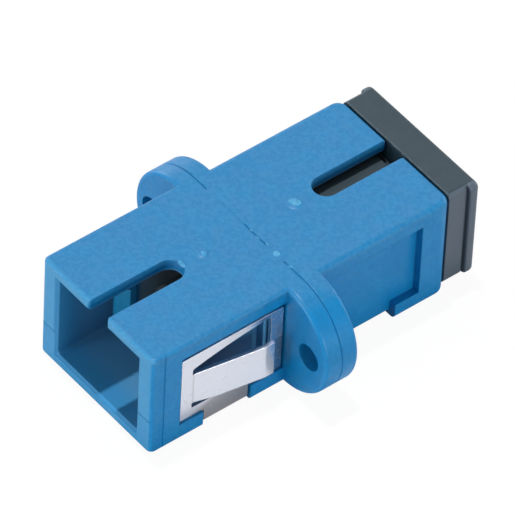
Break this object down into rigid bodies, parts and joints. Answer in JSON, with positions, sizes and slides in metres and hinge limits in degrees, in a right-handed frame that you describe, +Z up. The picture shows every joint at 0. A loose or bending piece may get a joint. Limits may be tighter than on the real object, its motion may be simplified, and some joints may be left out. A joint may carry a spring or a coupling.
{
  "type": "sc fibre adapter",
  "caption": "Simplex fibre-optic coupler: a flanged rectangular body with a keyed plug port at each end, a sprung panel clip and a dust cap in the rear port.",
  "frame": {"origin": "on the optical axis, at the centre of the housing halves' parting plane in the middle of the flange", "axes": "+X across the two ears, +Y along the optical axis from the open port to the capped port, +Z up through the key slots"},
  "size_m": [0.022, 0.0297, 0.0096],
  "materials": {
    "housing_plastic": "fine-textured moulded blue thermoplastic",
    "latch_plastic": "smooth moulded blue thermoplastic",
    "holder_plastic": "smooth moulded dark grey thermoplastic",
    "zirconia": "polished zirconia",
    "spring_steel": "bright rolled stainless strip",
    "cap_plastic": "satin black soft plastic"
  },
  "bodies": {
    "adapter": {"front_housing": "housing_plastic", "rear_housing": "housing_plastic", "front_latch": "latch_plastic", "rear_latch": "latch_plastic", "front_sleeve_holder": "holder_plastic", "rear_sleeve_holder": "holder_plastic", "split_sleeve": "zirconia", "panel_clip": "spring_steel"},
    "cap": {"dust_cap": "cap_plastic"}
  },
  "joints": [
    {"name": "cap_pull", "type": "slide", "parent": "adapter", "child": "cap", "axis": [0, 1, 0], "range_m": [0, 0.012]}
  ]
}
